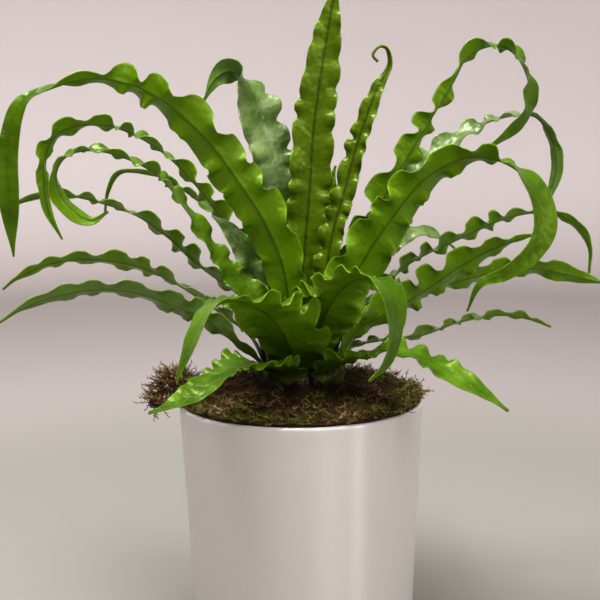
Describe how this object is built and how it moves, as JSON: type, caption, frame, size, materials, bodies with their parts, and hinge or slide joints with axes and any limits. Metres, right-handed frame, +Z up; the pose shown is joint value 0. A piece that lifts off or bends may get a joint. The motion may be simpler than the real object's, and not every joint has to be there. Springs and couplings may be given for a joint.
{
  "type": "potted fern",
  "caption": "Fern with long wavy-edged strap fronds arching out of a moss-topped, tapered round pot.",
  "frame": {"origin": "centre of the pot's flat base, where it rests", "axes": "+Z up through the pot's axis; -Y is the side that the picture shows, +X to its right"},
  "size_m": [0.3964, 0.2891, 0.4042],
  "materials": {
    "glaze": "satin",
    "growing_medium": "matte",
    "scaly_stem": "matte",
    "dry_moss": "matte",
    "leaf": "satin",
    "young_leaf": "satin"
  },
  "bodies": {
    "root": {"pot": "glaze", "soil": "growing_medium", "crown": "scaly_stem", "moss": "dry_moss", "frond_tall": "young_leaf", "frond_great_left": "leaf", "frond_fold_back": "leaf", "frond_curl": "young_leaf", "frond_behind_tall": "leaf", "frond_hook_right": "leaf", "frond_arch_right": "leaf", "frond_great_right": "leaf", "frond_right_up": "leaf", "frond_right_back": "leaf", "frond_right_mid": "leaf", "frond_right_out": "leaf", "frond_right_low": "leaf", "frond_front_right_low": "leaf", "frond_front_right": "leaf", "frond_front_left": "leaf", "frond_front_left_low": "leaf", "frond_left_low": "leaf", "frond_left_mid": "leaf", "frond_left_up": "leaf", "frond_left_wisp": "leaf", "frond_hook_left": "leaf", "frond_arch_left": "leaf", "frond_short_left": "leaf", "frond_back_high": "leaf", "frond_back_left_mid": "leaf", "frond_back_right_low": "leaf", "frond_back_left_low": "leaf", "frond_back_right_mid": "leaf"}
  },
  "joints": []
}
